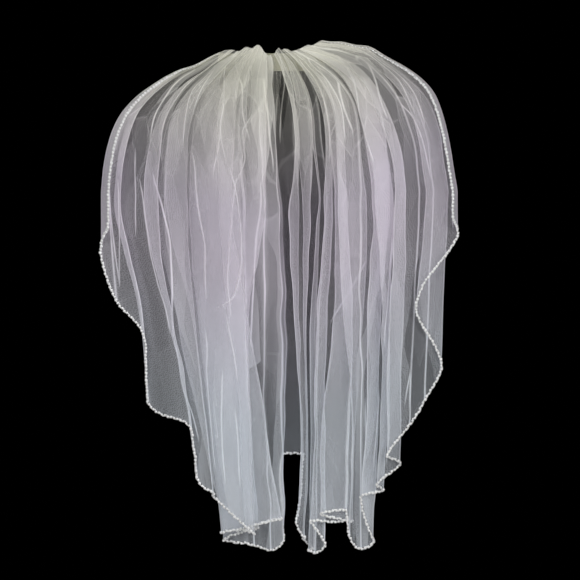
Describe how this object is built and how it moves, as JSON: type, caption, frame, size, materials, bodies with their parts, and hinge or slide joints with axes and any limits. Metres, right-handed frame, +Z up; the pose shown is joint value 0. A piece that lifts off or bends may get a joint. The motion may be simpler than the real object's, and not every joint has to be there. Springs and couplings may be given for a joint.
{
  "type": "bridal veil",
  "caption": "Elbow length bridal veil: one sheet of soft net gathered on a hair comb, hanging in deep folds with a beaded edge.",
  "frame": {"origin": "middle of the gathered edge, where the comb holds the veil", "axes": "+Z up, +Y from the outside of the veil towards the wearer's head, +X to the right as seen from outside"},
  "size_m": [0.538, 0.1333, 0.771],
  "materials": {
    "net": "fine ivory tulle, half transparent",
    "beads": "pearl white and clear beads on thread",
    "ribbon": "ivory satin ribbon",
    "comb": "clear moulded plastic"
  },
  "bodies": {
    "root": {"veil_net": "net", "bead_edging": "beads", "gather_band": "ribbon", "hair_comb": "comb"}
  },
  "joints": []
}
